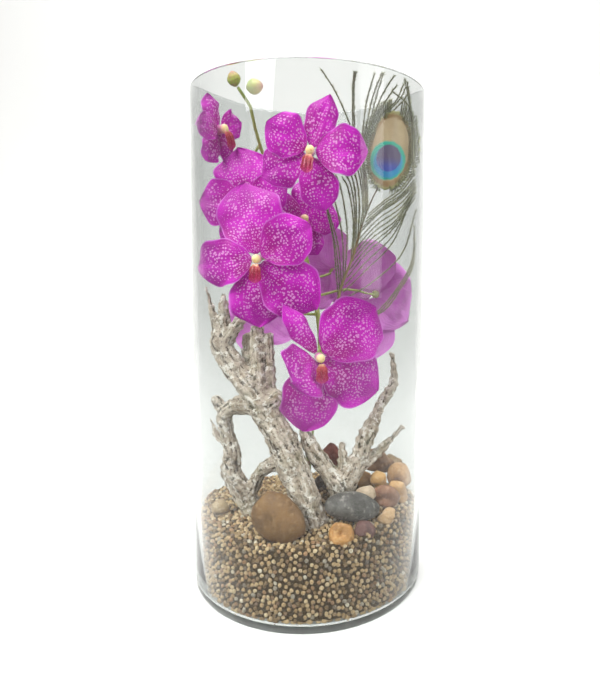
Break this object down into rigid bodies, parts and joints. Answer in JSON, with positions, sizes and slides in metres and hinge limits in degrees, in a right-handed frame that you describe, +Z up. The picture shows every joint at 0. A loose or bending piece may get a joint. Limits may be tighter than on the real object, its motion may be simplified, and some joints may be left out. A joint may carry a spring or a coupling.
{
  "type": "vanda orchid arrangement in a glass cylinder vase",
  "caption": "Clear glass cylinder vase holding magenta vanda orchid blooms on their spike, whitewashed driftwood, a peacock feather, river pebbles and a bed of tan gravel.",
  "frame": {"origin": "centre of the vase's foot, on the surface that it stands on", "axes": "+Z up along the vase's axis; -Y is the front"},
  "size_m": [0.19, 0.19, 0.4],
  "materials": {
    "glass": "clear polished",
    "gravel": "matt grit",
    "driftwood": "whitewashed, weathered",
    "stem": "living plant stem",
    "tepal": "soft petal with a tessellated pattern",
    "column": "waxy",
    "lip": "waxy",
    "feather": "feather barbs, iridescent eye",
    "pebble": "water-worn"
  },
  "bodies": {
    "root": {"glass_vase": "glass", "gravel_bed": "gravel", "driftwood_trunk": "driftwood", "driftwood_fork": "driftwood", "spike_stem": "stem", "bud_top": "stem", "bud_second": "stem", "bloom_top_dorsal_sepal": "tepal", "bloom_top_petal_right": "tepal", "bloom_top_lateral_sepal_right": "tepal", "bloom_top_lateral_sepal_left": "tepal", "bloom_top_petal_left": "tepal", "bloom_top_column": "column", "bloom_top_lip": "lip", "bloom_front_left_dorsal_sepal": "tepal", "bloom_front_left_petal_right": "tepal", "bloom_front_left_lateral_sepal_right": "tepal", "bloom_front_left_lateral_sepal_left": "tepal", "bloom_front_left_petal_left": "tepal", "bloom_front_left_column": "column", "bloom_front_left_lip": "lip", "bloom_front_right_dorsal_sepal": "tepal", "bloom_front_right_petal_right": "tepal", "bloom_front_right_lateral_sepal_right": "tepal", "bloom_front_right_lateral_sepal_left": "tepal", "bloom_front_right_petal_left": "tepal", "bloom_front_right_column": "column", "bloom_front_right_lip": "lip", "bloom_top_left": "tepal", "bloom_upper_left": "tepal", "bloom_middle": "tepal", "bloom_back": "tepal", "bloom_right": "tepal", "bloom_low_left": "tepal", "peacock_feather": "feather", "pebble_brown_egg": "pebble", "pebble_dark_grey": "pebble", "pebble_orange": "pebble", "pebble_plum": "pebble", "pebble_tan_front": "pebble", "pebble_pale_low": "pebble", "pebble_russet": "pebble", "pebble_pale_orange": "pebble", "pebble_tan_left": "pebble", "pebble_tan_right": "pebble", "pebble_brown_chunk": "pebble", "pebble_sandy_big": "pebble", "pebble_behind": "pebble", "pebble_dark_red": "pebble", "pebble_dark_brown": "pebble", "pebble_brown_back": "pebble", "pebble_small_tan": "pebble"}
  },
  "joints": []
}
